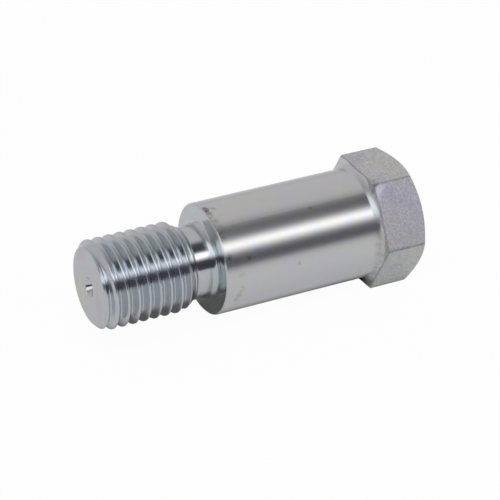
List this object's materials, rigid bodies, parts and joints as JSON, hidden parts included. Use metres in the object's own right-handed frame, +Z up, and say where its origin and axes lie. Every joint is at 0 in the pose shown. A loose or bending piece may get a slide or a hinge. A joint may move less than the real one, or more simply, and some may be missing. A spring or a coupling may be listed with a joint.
{
  "type": "tail lift pin",
  "caption": "Shouldered steel pin turned in one piece, with a hexagonal head, a plain cylindrical shank, a relief neck and a coarse threaded end.",
  "frame": {"origin": "on the pin's axis, half way along the shank between the shoulder and the underside of the head", "axes": "+X along the axis towards the head, -X towards the threaded end; +Z up, with one flat of the head facing down and its opposite flat facing up"},
  "size_m": [0.0905, 0.037, 0.032],
  "materials": {
    "zinc_plated_steel": "turned steel, bright zinc plated and clear passivated"
  },
  "bodies": {
    "root": {"lift_pin": "zinc_plated_steel"}
  },
  "joints": []
}
